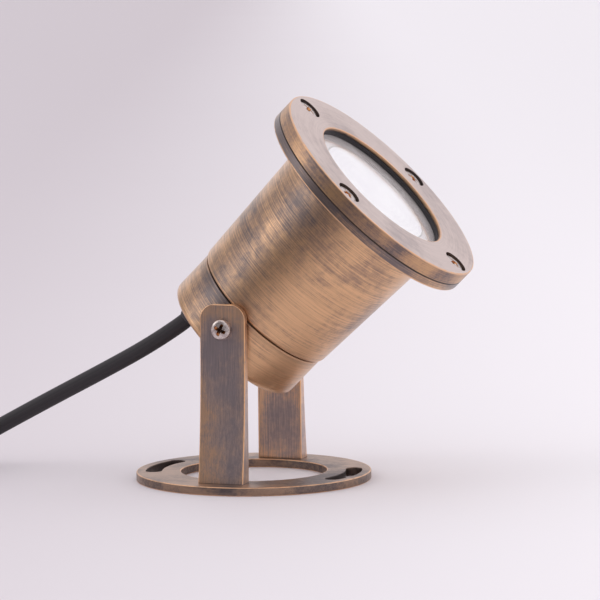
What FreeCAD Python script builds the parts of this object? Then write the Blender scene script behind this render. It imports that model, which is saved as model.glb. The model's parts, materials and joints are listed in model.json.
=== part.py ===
import FreeCAD, Part
import math
import os
from FreeCAD import Placement, Rotation, Vector

# Adjustable spotlight in aged brass: a tapered lamp head that tilts between two legs on a flat ring
# base, with a black supply lead out of its rear cap.
# The origin is the centre of the base ring's underside. +Z is up, +X is the way the light aims and
# +Y runs along the tilt axis. All sizes are in millimetres and degrees.

# Base ring, whose bore lies a little inside the legs, and its two curved fixing slots
ringInsideLegs = 2.58
ringWidth = 18.0
ringThickness = 3.5
slotInset = 7.0
slotWidth = 6.5
slotHalfAngle = 19.4

# Legs: flat inside, with an outer face that sweeps out to a thicker foot
legWidth = 18.8
legTopCorner = 6.0
legAbovePivot = 9.8
legTopThickness = 3.3
legFootThickness = 7.4
legStraightBelowPivot = 4.5
legScrewThread = 4.0
legScrewHead = 7.6
legScrewLength = 14.0

# Tilt pivot: a screw and a washer on each side of the head
pivotHeight = 64.5
headTilt = 45.0
pivotThread = 4.0
pivotHeadDiameter = 8.0
pivotHeadHeight = 3.1
pivotSeatDepth = 0.9
washerDiameter = 12.0
washerThickness = 2.0
runningGap = 0.08

# Rear cap, measured from the pivot axis along the light's axis
capBehindPivot = 11.6
capAheadOfPivot = 8.5
capDiameter = 61.8
capBore = 50.0
capFloor = 4.0
capBevel = 2.0
spigotLength = 7.0
spigotClearance = 0.05

# Barrel, which ends in a flange as wide as the face ring
barrelLength = 60.5
barrelRearDiameter = 63.2
barrelFrontDiameter = 69.1
barrelBore = 56.4
flangeThickness = 3.5

# Face ring, its screws, the lens and the seals under it
faceThickness = 6.0
faceLip = 1.5
apertureDiameter = 62.2
faceWidth = 18.0
faceScrewInset = 6.6
faceScrewCount = 4
faceScrewThread = 5.0
faceScrewHead = 9.2
faceScrewHeadHeight = 3.0
faceScrewSunk = 0.5
faceScrewShort = 0.3
faceScrewClearance = 0.2
counterboreClearance = 0.5
lensOverlap = 3.9
lensThickness = 1.8
lensClearance = 0.3
lensGasketProud = 0.1

# Lamp, and the plate under the lens that it is pushed into
lampDiameter = 50.6
lampRim = 3.0
lampRimOverhang = 5.3
lampLength = 44.0
lampBaseLength = 8.0
lampBaseWidth = 17.0
lampBaseHeight = 12.0
lampLensInset = 0.6
lampLensThickness = 0.5
lampPinDiameter = 1.5
lampPinLength = 7.0
lampPinSpacing = 5.3
plateThickness = 0.6
plateClearance = 0.1

# Lamp holder, its leads and the joints to the supply lead's cores
holderDepth = 13.0
holderWidth = 24.0
holderHeight = 11.0
leadDiameter = 1.8
leadSpacing = 8.0
leadLength = 3.0
leadLift = 3.5
jointDiameter = 3.6
jointLength = 6.0
coreReach = 3.0
coreStraight = 4.0
coreDiameter = 2.2
coreSpacing = 2.8
corePartingStation = -3.5
wireSides = 6
threadSides = 8

# Cable gland in the rear cap
glandOffset = 19.5
glandThread = 10.0
glandInside = 0.6
glandAcrossFlats = 13.0
glandCollar = 2.0
glandNutLength = 3.5
glandSealDiameter = 8.6
glandSealNose = 3.0

# Supply lead: its free stretch, then the rest put away as a tied coil
cableDiameter = 6.5
cableSides = 8
cableFirstRun = 12.0
cableRoute = [
    Vector(-52.0, 0.0, 48.0),
    Vector(-67.0, 0.0, 40.2),
    Vector(-89.1, 0.0, 29.0),
    Vector(-111.3, 0.0, 17.3),
    Vector(-135.0, 0.0, 4.3),
]
coilStart = Vector(-156.0, 0.0, 4.3)
coilOuterRadius = 43.0
coilPitch = 7.2
coilLayerHeight = 7.0
coilTurnsPerLayer = 1
coilSpansPerTurn = 4
tieWidth = 4.5
tieThickness = 1.0
tieClearance = 0.25
tieHeadLength = 7.0
tieHeadHeight = 4.0
endCoreLength = 22.0
endCopperLength = 7.0
endCopperDiameter = 1.4

# Sizes that follow from those above
pivotSeatHalfWidth = capDiameter / 2 - pivotSeatDepth
legInner = pivotSeatHalfWidth + washerThickness + runningGap
legOuterTop = legInner + legTopThickness
legMiddle = legInner + legFootThickness / 2
ringBore = 2 * (legInner - ringInsideLegs)
ringDiameter = ringBore + 2 * ringWidth
slotCircle = ringDiameter - 2 * slotInset
flangeDiameter = apertureDiameter + 2 * faceWidth
faceScrewCircle = flangeDiameter - 2 * faceScrewInset
lensDiameter = apertureDiameter + 2 * lensOverlap
lampBodyDiameter = lampDiameter - 2 * lampRimOverhang
lampLensDiameter = lampDiameter - 2 * lampLensInset

# Stations along the light's axis, forward of the pivot
joint = capAheadOfPivot
capRear = -capBehindPivot
flangeBack = joint + barrelLength
flangeFront = flangeBack + flangeThickness
faceFront = flangeFront + faceThickness
lipBack = faceFront - faceLip
lensBack = flangeFront + plateThickness
lensFront = lensBack + lensThickness
lampFront = lensBack - lampLensThickness
lampBack = lampFront - lampLength
lensSeatRadius = lensDiameter / 2 + lensClearance
glandRear = capRear - glandCollar - glandNutLength
glandNoseEnd = glandRear - glandSealNose

forward = Vector(1, 0, 0)
headPlacement = Placement(Vector(0, 0, pivotHeight), Rotation(Vector(0, 1, 0), -headTilt))


# Outlines and turned, swept and six-sided solids

def roundedOutline(corners, toSpace):
    # a corner is (a, b) or (a, b, radius); a radius turns it into a tangent arc
    points = [toSpace(corner[0], corner[1]) for corner in corners]
    radii = [corner[2] if len(corner) > 2 else 0.0 for corner in corners]
    starts, ends, edges = [], [], []
    for index, point in enumerate(points):
        before = (points[index - 1] - point).normalize()
        after = (points[(index + 1) % len(points)] - point).normalize()
        half = before.getAngle(after) / 2
        reach = radii[index] / math.tan(half) if radii[index] else 0.0
        starts.append(point + before * reach)
        ends.append(point + after * reach)
    for index, point in enumerate(points):
        if radii[index]:
            towards = ((starts[index] + ends[index]) * 0.5 - point).normalize()
            half = (starts[index] - point).getAngle(ends[index] - point) / 2
            middle = point + towards * (radii[index] / math.sin(half) - radii[index])
            edges.append(Part.Arc(starts[index], middle, ends[index]).toShape())
        edges.append(Part.LineSegment(ends[index], starts[(index + 1) % len(points)]).toShape())
    return Part.Face(Part.Wire(edges))


def turned(corners, turn=360.0):
    # corners are (station, radius) in the head's frame, turned about the light's axis
    face = roundedOutline(corners, lambda station, radius: Vector(station, 0, radius))
    return face.revolve(Vector(0, 0, 0), Vector(1, 0, 0), turn)


def disc(rear, front, radius):
    # a plain cylinder about the light's axis
    return Part.makeCylinder(radius, front - rear, Vector(rear, 0, 0), Vector(1, 0, 0))


def tube(rear, front, outer, inner):
    return disc(rear, front, outer).cut(disc(rear, front, inner))


def moved(shape, offset):
    copy = shape.copy()
    copy.translate(offset)
    return copy


def around(shape, count):
    # copies of a shape, evenly spaced about the light's axis
    copies = []
    for index in range(count):
        copy = shape.copy()
        copy.rotate(Vector(0, 0, 0), Vector(1, 0, 0), 360.0 * index / count)
        copies.append(copy)
    return copies


def mirrored(shape):
    return shape.mirror(Vector(0, 0, 0), Vector(0, 1, 0))


def hexBar(rear, front, acrossFlats):
    corner = acrossFlats / math.sqrt(3)
    points = []
    for index in range(7):
        angle = math.radians(60 * index)
        points.append(Vector(rear, corner * math.cos(angle), corner * math.sin(angle)))
    return Part.Face(Part.makePolygon(points)).extrude(Vector(front - rear, 0, 0))


def section(centre, direction, diameter, sides=0):
    # round, or a regular outline with one flat facing straight down where the direction is level
    if not sides:
        return Part.Wire(Part.makeCircle(diameter / 2, centre, direction))
    across = direction.cross(Vector(0, 0, 1))
    if across.Length < 1e-6:
        across = Vector(0, 1, 0)
    across.normalize()
    upward = across.cross(direction).normalize()
    points = []
    for index in range(sides + 1):
        angle = 2 * math.pi * (index + 0.5) / sides
        points.append(centre + (upward * math.cos(angle) + across * math.sin(angle)) * (diameter / 2))
    return Part.makePolygon(points)


def rod(start, way, length, diameter, sides=wireSides):
    return Part.Face(section(start, way, diameter, sides)).extrude(way * length)


def threaded(start, way, length, diameter):
    # a screw's thread, or the hole that it runs in, drawn with eight flats
    return rod(start, way, length, diameter, threadSides)


def swept(path, start, direction, diameter, sides=0):
    shell = Part.BRepOffsetAPI.MakePipeShell(path)
    shell.add(section(start, direction, diameter, sides))
    shell.build()
    shell.makeSolid()
    return shell.shape()


def bentRoute(points, label=""):
    # straight runs joined by tangent arcs, each as large as its two runs allow
    edges = []
    last = points[0]
    for index in range(1, len(points) - 1):
        inward = points[index] - points[index - 1]
        onward = points[index + 1] - points[index]
        reach = 0.45 * min(inward.Length, onward.Length)
        half = inward.getAngle(onward) / 2
        radius = reach / math.tan(half)
        inward.normalize()
        onward.normalize()
        begin = points[index] - inward * reach
        end = points[index] + onward * reach
        middle = points[index] + (onward - inward).normalize() * (radius / math.cos(half) - radius)
        edges.append(Part.LineSegment(last, begin).toShape())
        edges.append(Part.Arc(begin, middle, end).toShape())
        last = end
        if label:
            print(label, "bend", index, "radius %.1f mm" % radius)
    edges.append(Part.LineSegment(last, points[-1]).toShape())
    return Part.Wire(edges)


def bentTube(points, diameter, label="", sides=0):
    path = bentRoute(points, label)
    direction = (points[1] - points[0]).normalize()
    solid = swept(path, points[0], direction, diameter, sides)
    if label:
        wanted = path.Length * Part.Face(section(points[0], direction, diameter, sides)).Area
        print(label, "length %.1f mm, volume ratio %.4f" % (path.Length, solid.Volume / wanted))
    return solid


def export(node, shape, placement=None):
    # identical pieces come as a list and share one file as separate solids
    solids = shape if isinstance(shape, list) else [shape]
    placed = []
    for solid in solids:
        copy = solid.copy()
        if placement:
            copy.transformShape(placement.toMatrix())
        placed.append(copy)
    whole = placed[0] if len(placed) == 1 else Part.makeCompound(placed)
    whole.exportStep("parts/%s.step" % node)


# Base

def curvedSlot(turn):
    # a slot along the fixing circle, rounded at both ends, cut through the ring
    inner = (slotCircle - slotWidth) / 2
    outer = (slotCircle + slotWidth) / 2

    def at(radius, angle):
        radians = math.radians(turn + angle)
        return Vector(radius * math.cos(radians), radius * math.sin(radians), -ringThickness)

    endPush = math.degrees(slotWidth / slotCircle)
    edges = [
        Part.Arc(at(outer, -slotHalfAngle), at(outer, 0), at(outer, slotHalfAngle)),
        Part.Arc(at(outer, slotHalfAngle), at(slotCircle / 2, slotHalfAngle + endPush),
                 at(inner, slotHalfAngle)),
        Part.Arc(at(inner, slotHalfAngle), at(inner, 0), at(inner, -slotHalfAngle)),
        Part.Arc(at(inner, -slotHalfAngle), at(slotCircle / 2, -slotHalfAngle - endPush),
                 at(outer, -slotHalfAngle)),
    ]
    face = Part.Face(Part.Wire([edge.toShape() for edge in edges]))
    return face.extrude(Vector(0, 0, 3 * ringThickness))


def legScrew(side):
    # countersunk screw up through the ring into the foot of a leg
    up = Vector(0, 0, 1)
    place = Vector(0, side * legMiddle, 0)
    neck = place + up * ((legScrewHead - legScrewThread) / 2)
    head = Part.makeLoft([section(place, up, legScrewHead, threadSides),
                          section(neck, up, legScrewThread, threadSides)], True, True)
    return head.fuse(threaded(place, up, legScrewLength, legScrewThread)).removeSplitter()


def makeRing():
    ring = Part.makeCylinder(ringDiameter / 2, ringThickness)
    ring = ring.cut(Part.makeCylinder(ringBore / 2, ringThickness))
    ring = ring.cut(curvedSlot(0)).cut(curvedSlot(180))
    return ring.cut(legScrew(-1)).cut(legScrew(1))


def makeLeg(side):
    top = pivotHeight + legAbovePivot
    straight = pivotHeight - legStraightBelowPivot
    half = legWidth / 2
    front = roundedOutline(
        [(-half, ringThickness), (half, ringThickness),
         (half, top, legTopCorner), (-half, top, legTopCorner)],
        lambda across, height: Vector(across, legInner, height))
    plate = front.extrude(Vector(0, legFootThickness, 0))
    # the outer face: upright down to below the pivot, then one large arc out to the foot
    flare = legFootThickness - legTopThickness
    drop = straight - ringThickness
    arcRadius = (drop ** 2 + flare ** 2) / (2 * flare)
    halfDrop = drop / 2
    middle = legOuterTop + arcRadius - math.sqrt(arcRadius ** 2 - halfDrop ** 2)
    inside = Vector(-half, legInner, ringThickness)
    foot = Vector(-half, legInner + legFootThickness, ringThickness)
    bend = Vector(-half, legOuterTop, straight)
    outerTop = Vector(-half, legOuterTop, top)
    insideTop = Vector(-half, legInner, top)
    profile = Part.Wire([
        Part.LineSegment(inside, foot).toShape(),
        Part.Arc(foot, Vector(-half, middle, straight - halfDrop), bend).toShape(),
        Part.LineSegment(bend, outerTop).toShape(),
        Part.LineSegment(outerTop, insideTop).toShape(),
        Part.LineSegment(insideTop, inside).toShape(),
    ])
    leg = plate.common(Part.Face(profile).extrude(Vector(legWidth, 0, 0)))
    hole = Part.makeCylinder(pivotThread / 2 + runningGap, 3 * legFootThickness,
                             Vector(0, legInner - legFootThickness, pivotHeight), Vector(0, 1, 0))
    leg = leg.cut(hole).cut(legScrew(1))
    return leg if side > 0 else mirrored(leg)


def makeBase():
    export("base_ring", makeRing())
    export("near_leg", makeLeg(-1))
    export("far_leg", makeLeg(1))
    export("leg_screws", [legScrew(-1), legScrew(1)])


# Pivot hardware, in the head's frame

def pivotScrew():
    # pan head, a round shank through the leg and the washer, and a thread into the wall of the rear cap
    way = Vector(0, 1, 0)
    under = legOuterTop + runningGap
    tip = capBore / 2 + runningGap
    head = Part.makeCylinder(pivotHeadDiameter / 2, pivotHeadHeight, way * under, way)
    shank = Part.makeCylinder(pivotThread / 2, under - pivotSeatHalfWidth, way * pivotSeatHalfWidth, way)
    thread = threaded(way * tip, way, pivotSeatHalfWidth - tip, pivotThread)
    return head.fuse(shank).fuse(thread).removeSplitter()


def pivotWasher():
    seat = Vector(0, pivotSeatHalfWidth, 0)
    way = Vector(0, 1, 0)
    washer = Part.makeCylinder(washerDiameter / 2, washerThickness, seat, way)
    return washer.cut(Part.makeCylinder(pivotThread / 2 + runningGap, washerThickness, seat, way))


# Head shells

def makeRearCap():
    bore = capBore / 2
    spigot = barrelBore / 2 - spigotClearance
    outer = capDiameter / 2
    corners = [
        (capRear, 0), (capRear, outer - capBevel), (capRear + capBevel, outer), (joint, outer),
        (joint, spigot), (joint + spigotLength, spigot), (joint + spigotLength, bore),
        (capRear + capFloor, bore), (capRear + capFloor, 0),
    ]
    cap = turned(corners)
    # flat seats for the washers, with a tapped hole in each
    seat = Part.makeCylinder(washerDiameter / 2 + runningGap, capDiameter,
                             Vector(0, pivotSeatHalfWidth, 0), Vector(0, 1, 0))
    tapped = threaded(Vector(0, 0, 0), Vector(0, 1, 0), capDiameter, pivotThread)
    for cutter in (seat, tapped):
        cap = cap.cut(cutter).cut(mirrored(cutter))
    glandHole = threaded(Vector(capRear - 1, 0, glandOffset), forward, capFloor + 2, glandThread)
    return cap.cut(glandHole)


def makeBarrel():
    flange = flangeDiameter / 2
    corners = [
        (joint, barrelBore / 2), (joint, barrelRearDiameter / 2), (flangeBack, barrelFrontDiameter / 2),
        (flangeBack, flange), (flangeFront, flange), (flangeFront, barrelBore / 2),
    ]
    barrel = turned(corners)
    tapped = threaded(Vector(flangeBack - 1, 0, faceScrewCircle / 2), forward, flangeThickness + 2,
                      faceScrewThread)
    for hole in around(tapped, faceScrewCount):
        barrel = barrel.cut(hole)
    return barrel


def makeFaceRing():
    aperture = apertureDiameter / 2
    corners = [
        (flangeFront, lensSeatRadius), (lipBack, lensSeatRadius), (lipBack, aperture),
        (faceFront, aperture), (faceFront, flangeDiameter / 2), (flangeFront, flangeDiameter / 2),
    ]
    ring = turned(corners)
    floor = faceFront - faceScrewSunk - faceScrewHeadHeight
    counterbore = disc(floor, faceFront + 1, faceScrewHead / 2 + counterboreClearance)
    clear = threaded(Vector(flangeFront - 1, 0, 0), forward, floor + 2 - flangeFront,
                     faceScrewThread + 2 * faceScrewClearance)
    hole = moved(counterbore.fuse(clear), Vector(0, 0, faceScrewCircle / 2))
    for copy in around(hole, faceScrewCount):
        ring = ring.cut(copy)
    return ring


def makeFaceScrews():
    top = faceFront - faceScrewSunk
    under = top - faceScrewHeadHeight
    tip = flangeBack + faceScrewShort
    thread = threaded(Vector(tip, 0, 0), forward, top - tip, faceScrewThread)
    screw = disc(under, top, faceScrewHead / 2).fuse(thread).removeSplitter()
    return around(moved(screw, Vector(0, 0, faceScrewCircle / 2)), faceScrewCount)


def makeHeadShells():
    gasketInner = apertureDiameter / 2 - lensGasketProud
    lensRadius = lensDiameter / 2
    shells = {
        "rear_cap": makeRearCap(),
        "barrel": makeBarrel(),
        "face_ring": makeFaceRing(),
        "face_screws": makeFaceScrews(),
        "lens_glass": disc(lensBack, lensFront, lensRadius),
        "lens_gasket": tube(lensFront, lipBack, lensRadius, gasketInner),
        "pivot_screws": [pivotScrew(), mirrored(pivotScrew())],
        "pivot_washers": [pivotWasher(), mirrored(pivotWasher())],
    }
    for node, shape in shells.items():
        export(node, shape, headPlacement)


# Lamp and what carries it

def makeLampHousing():
    shoulder = lampBack + lampBaseLength
    rimBack = lampFront - lampRim
    corners = [
        (shoulder, 0), (shoulder, lampBodyDiameter / 2),
        (rimBack, lampBodyDiameter / 2), (rimBack, lampDiameter / 2),
        (lampFront, lampDiameter / 2), (lampFront, 0),
    ]
    base = Part.makeBox(lampBaseLength, lampBaseWidth, lampBaseHeight,
                        Vector(lampBack, -lampBaseWidth / 2, -lampBaseHeight / 2))
    return turned(corners).fuse(base).removeSplitter()


def makeLampPlate():
    return tube(flangeFront, lensBack, lensDiameter / 2, lampDiameter / 2 + plateClearance)


def pinPlaces():
    return [Vector(0, side * lampPinSpacing / 2, 0) for side in (-1, 1)]


def lampPin(place):
    return rod(Vector(lampBack - lampPinLength, 0, 0) + place, forward, lampPinLength, lampPinDiameter)


def makeLampPins():
    return [lampPin(place) for place in pinPlaces()]


def makeHolder():
    block = Part.makeBox(holderDepth, holderWidth, holderHeight,
                         Vector(lampBack - holderDepth, -holderWidth / 2, -holderHeight / 2))
    for place in pinPlaces():
        block = block.cut(lampPin(place))
    return block


def makeInnerWiring():
    # straight leads back from the holder, a joint on each, and the cores bent down from the gland
    holderRear = lampBack - holderDepth
    jointRear = holderRear - leadLength - jointLength
    leads, joints, cores = [], [], []
    for side in (-1, 1):
        across = side * leadSpacing / 2
        leadRear = Vector(holderRear - leadLength, across, leadLift)
        leads.append(rod(leadRear, forward, leadLength, leadDiameter))
        joints.append(rod(Vector(jointRear, across, leadLift), forward, jointLength, jointDiameter))
        parting = Vector(corePartingStation, side * coreSpacing / 2, glandOffset)
        core = [Vector(jointRear, across, leadLift), Vector(jointRear - coreReach, across, leadLift),
                parting + forward * coreStraight, parting]
        cores.append(bentTube(core, coreDiameter, sides=wireSides))
    return leads, joints, cores


def makeLampParts():
    leads, joints, cores = makeInnerWiring()
    pieces = {
        "lamp_housing": makeLampHousing(),
        "lamp_lens": disc(lampFront, lampFront + lampLensThickness, lampLensDiameter / 2),
        "lamp_plate": makeLampPlate(),
        "lamp_pins": makeLampPins(),
        "lamp_holder": makeHolder(),
        "holder_leads": leads,
        "wire_joints": joints,
        "cable_cores": cores,
    }
    for node, shape in pieces.items():
        export(node, shape, headPlacement)


# Cable gland in the rear cap, about its own axis and then moved up to its place

def cablePassage(rear, front, diameter):
    # the lead's own outline, carried along the gland's axis
    return rod(Vector(rear, 0, 0), forward, front - rear, diameter, cableSides)


def makeGland():
    collarRear = capRear - glandCollar
    inside = capRear + capFloor + glandInside
    seal = glandSealDiameter / 2
    body = hexBar(collarRear, capRear, glandAcrossFlats)
    body = body.fuse(threaded(Vector(capRear, 0, 0), forward, inside - capRear, glandThread))
    bore = cablePassage(collarRear, inside, cableDiameter + 2 * spigotClearance)
    nut = hexBar(glandRear, collarRear, glandAcrossFlats)
    nose = disc(glandNoseEnd, collarRear, seal)
    pieces = {
        "gland_body": body.cut(bore),
        "gland_nut": nut.cut(disc(glandRear, collarRear, seal)),
        "gland_seal": nose.cut(cablePassage(glandNoseEnd, collarRear, cableDiameter)),
        "cable_inlet": cablePassage(glandNoseEnd, corePartingStation, cableDiameter),
    }
    for node, shape in pieces.items():
        export(node, moved(shape, Vector(0, 0, glandOffset)), headPlacement)


# Free stretch of the lead, and its coil

def makeFreeCable():
    exitPoint = headPlacement.multVec(Vector(glandNoseEnd, 0, glandOffset))
    outward = headPlacement.Rotation.multVec(Vector(-1, 0, 0))
    points = [exitPoint, exitPoint + outward * cableFirstRun] + cableRoute + [coilStart]
    return bentTube(points, cableDiameter, "cable", cableSides)


def coilPoint(angle):
    # two flat layers: the lower spirals in, the upper spirals out, and the lead climbs where it turns back
    reversal = 2 * math.pi * coilTurnsPerLayer
    past = angle - reversal
    quarter = math.pi / 2
    if abs(past) < quarter:
        spread = past ** 2 / math.pi + math.pi / 4
        climb = 0.5 + 0.5 * math.sin(past)
    else:
        spread = abs(past)
        climb = 0.0 if past < 0 else 1.0
    radius = coilOuterRadius - coilPitch * coilTurnsPerLayer + coilPitch * spread / (2 * math.pi)
    return Vector(radius * math.cos(angle), radius * math.sin(angle), climb * coilLayerHeight)


def coilDirection(angle):
    step = 1e-4
    return (coilPoint(angle + step) - coilPoint(angle - step)).normalize()


def arcBetween(start, direction, end):
    # the one arc that leaves start along direction and reaches end
    chord = end - start
    turn = direction.getAngle(chord)
    side = chord.cross(direction).cross(chord).normalize()
    middle = start + chord * 0.5 + side * (chord.Length / 2 * math.tan(turn / 2))
    return Part.Arc(start, middle, end).toShape()


def twoArcs(start, startWay, end, endWay):
    # a pair of arcs that meet smoothly halfway, with a common tangent length
    chord = end - start
    squared = 2 * (startWay.dot(endWay) - 1)
    linear = -2 * chord.dot(startWay + endWay)
    root = math.sqrt(linear ** 2 - 4 * squared * chord.dot(chord))
    reach = (-linear - root) / (2 * squared)
    meet = (start + end + (startWay - endWay) * reach) * 0.5
    meetWay = (meet - start - startWay * reach).normalize()
    return [arcBetween(start, startWay, meet), arcBetween(meet, meetWay, end)]


def coilPlacement():
    # turned so that the coil sets off along -X, and set at the end of the free stretch
    turn = Rotation(coilDirection(0), Vector(-1, 0, 0))
    begin = coilStart + Vector(-cableDiameter, 0, 0)
    return Placement(begin - turn.multVec(coilPoint(0)), turn)


def coilEnd():
    return 4 * math.pi * coilTurnsPerLayer


def coilLeastGap():
    # measured on points of the centre line that are more than half a turn apart
    steps = 60 * 2 * coilTurnsPerLayer
    points = [coilPoint(coilEnd() * index / steps) for index in range(steps + 1)]
    nearest = min(points[one].distanceToPoint(points[two])
                  for one in range(steps + 1) for two in range(one + 30, steps + 1))
    return nearest - cableDiameter


def makeCoil():
    spans = 2 * coilTurnsPerLayer * coilSpansPerTurn
    angles = [coilEnd() * index / spans for index in range(spans + 1)]
    first = coilDirection(0)
    last = coilDirection(coilEnd())
    start = coilPoint(0) - first * cableDiameter
    edges = [Part.LineSegment(start, coilPoint(0)).toShape()]
    for begin, end in zip(angles[:-1], angles[1:]):
        edges += twoArcs(coilPoint(begin), coilDirection(begin), coilPoint(end), coilDirection(end))
    finish = coilPoint(coilEnd())
    edges.append(Part.LineSegment(finish, finish + last * cableDiameter).toShape())
    path = Part.Wire(edges)
    coil = swept(path, start, first, cableDiameter, cableSides)
    wanted = path.Length * Part.Face(section(start, first, cableDiameter, cableSides)).Area
    print("coil length %.1f mm, volume ratio %.4f" % (path.Length, coil.Volume / wanted))
    print("coil least gap to itself %.2f mm" % coilLeastGap())
    return coil


def makeEndCores():
    # the stripped far end: two insulated cores with bare copper tips
    way = coilDirection(coilEnd())
    sheathEnd = coilPoint(coilEnd()) + way * cableDiameter
    across = way.cross(Vector(0, 0, 1)).normalize()
    cores, tips = [], []
    for side in (-1, 1):
        root = sheathEnd + across * (side * coreSpacing / 2)
        tip = root + way * endCoreLength
        cores.append(rod(root, way, endCoreLength, coreDiameter))
        tips.append(rod(tip, way, endCopperLength, endCopperDiameter))
    return cores, tips


def makeTie():
    # a strap round the whole bundle, half a turn on from the coil's start
    at = math.pi
    reach = cableDiameter / 2 + tieClearance
    innermost = at + 2 * math.pi * (coilTurnsPerLayer - 1)
    bundleOuter = coilPoint(at).Length + reach
    bundleInner = coilPoint(innermost).Length - reach
    # the lead's flats reach less far down than its corners
    flat = cableDiameter / 2 * math.cos(math.pi / cableSides) + tieClearance
    low = -flat
    high = coilLayerHeight + flat
    half = tieWidth / 2

    def strapBox(grow):
        corner = Vector(-bundleOuter - grow, -half, low - grow)
        return Part.makeBox(bundleOuter - bundleInner + 2 * grow, tieWidth, high - low + 2 * grow, corner)

    strap = strapBox(tieThickness).cut(strapBox(0))
    headWidth = tieWidth + 1.6
    headPlace = Vector(-bundleOuter - tieThickness - tieHeadHeight, -headWidth / 2, coilLayerHeight / 2)
    head = Part.makeBox(tieHeadHeight, headWidth, tieHeadLength, headPlace)
    return strap.fuse(head).removeSplitter()


def makeLead():
    placement = coilPlacement()
    export("cable", makeFreeCable())
    export("cable_coil", makeCoil(), placement)
    export("cable_tie", makeTie(), placement)
    cores, tips = makeEndCores()
    export("end_cores", cores, placement)
    export("end_copper", tips, placement)


os.makedirs("parts", exist_ok=True)
makeBase()
makeHeadShells()
makeLampParts()
makeGland()
makeLead()
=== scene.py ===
import json
import math
import bmesh
import bpy
import numpy as np
from mathutils import Matrix, Vector


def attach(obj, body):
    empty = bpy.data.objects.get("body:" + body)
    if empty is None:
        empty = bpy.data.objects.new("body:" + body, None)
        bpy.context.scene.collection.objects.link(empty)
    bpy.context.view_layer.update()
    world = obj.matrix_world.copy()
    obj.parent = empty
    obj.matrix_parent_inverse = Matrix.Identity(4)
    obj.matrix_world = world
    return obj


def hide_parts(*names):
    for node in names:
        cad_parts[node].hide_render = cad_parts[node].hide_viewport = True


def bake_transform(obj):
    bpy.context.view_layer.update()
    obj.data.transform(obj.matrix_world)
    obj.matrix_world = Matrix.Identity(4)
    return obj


# Looks of an adjustable spotlight in aged brass: tapered head, two flat legs, slotted ring base, black lead.
# Sizes in the dictionaries are millimetres in the frame of the CAD model; meshes are built in metres.

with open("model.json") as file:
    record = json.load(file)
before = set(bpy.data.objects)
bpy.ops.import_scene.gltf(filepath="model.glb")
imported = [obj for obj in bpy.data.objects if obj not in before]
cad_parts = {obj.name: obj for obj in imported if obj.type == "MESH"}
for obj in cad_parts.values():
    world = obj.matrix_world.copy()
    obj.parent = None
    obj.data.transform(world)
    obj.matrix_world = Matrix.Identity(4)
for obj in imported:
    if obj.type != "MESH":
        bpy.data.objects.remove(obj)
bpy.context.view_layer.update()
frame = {"nodes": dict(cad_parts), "record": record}
mm = 0.001
fullTurn = 2 * math.pi

head = {"pivotHeight": 64.5, "tilt": math.radians(45)}
headTurn = np.array([[math.cos(head["tilt"]), 0, -math.sin(head["tilt"])],
                     [0, 1, 0],
                     [math.sin(head["tilt"]), 0, math.cos(head["tilt"])]])


def inHead(points):
    # from the head's frame (x along the light's axis, origin on the pivot) to the frame of the scene
    return points @ headTurn.T + np.array([0, 0, head["pivotHeight"]])


# Camera, matched to the photograph

shot = {"at": (0.49631, -1.38988, 0.22819), "azimuth": 18.901, "elevation": 6.03, "roll": -0.559,
        "lens": 221.16, "sensor": 36, "near": 0.05, "far": 200}


def newObject(name, data):
    made = bpy.data.objects.new(name, data)
    bpy.context.scene.collection.objects.link(made)
    return made


def makeCamera():
    azimuth, elevation, roll = (math.radians(shot[key]) for key in ("azimuth", "elevation", "roll"))
    ahead = Vector((-math.sin(azimuth) * math.cos(elevation), math.cos(azimuth) * math.cos(elevation),
                    -math.sin(elevation)))
    level = Vector((math.cos(azimuth), math.sin(azimuth), 0))
    upright = level.cross(ahead)
    across = level * math.cos(roll) + upright * math.sin(roll)
    upward = upright * math.cos(roll) - level * math.sin(roll)
    data = bpy.data.cameras.new("photoCamera")
    data.lens, data.sensor_width = shot["lens"], shot["sensor"]
    data.clip_start, data.clip_end = shot["near"], shot["far"]
    camera = newObject("photoCamera", data)
    turn = Matrix((across, upward, -ahead)).transposed().to_4x4()
    camera.matrix_world = Matrix.Translation(shot["at"]) @ turn
    bpy.context.scene.camera = camera


makeCamera()
bpy.context.scene.view_settings.view_transform = "Standard"


# Meshes from grids of points

def gridFaces(rows, columns, closeRows):
    # quads between neighbouring points of a grid that is numbered row by row, and whose rows are rings
    row = np.arange(rows if closeRows else rows - 1)[:, None]
    column = np.arange(columns)[None, :]
    nextRow, nextColumn = (row + 1) % rows, (column + 1) % columns
    corners = [row * columns + column, row * columns + nextColumn,
               nextRow * columns + nextColumn, nextRow * columns + column]
    return np.stack(corners, -1).reshape(-1, 4)


def patch(points, wear=0.0, closeRows=False):
    # one grid of points with its wear and shade: above 0 where it is rubbed, below 0 where shade is painted
    # into hollows and joints, and the direction of its rows as a UV map
    rows, columns = points.shape[:2]
    faces = gridFaces(rows, columns, closeRows)
    row, column = faces[:, 0] // columns, faces[:, 0] % columns
    along = np.stack([column, column + 1, column + 1, column], -1) / columns
    across = np.stack([row, row, row + 1, row + 1], -1) / rows
    return {"points": points.reshape(-1, 3), "wear": np.broadcast_to(wear, (rows, columns)).reshape(-1),
            "faces": faces, "uv": np.stack([along, across], -1)}


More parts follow.
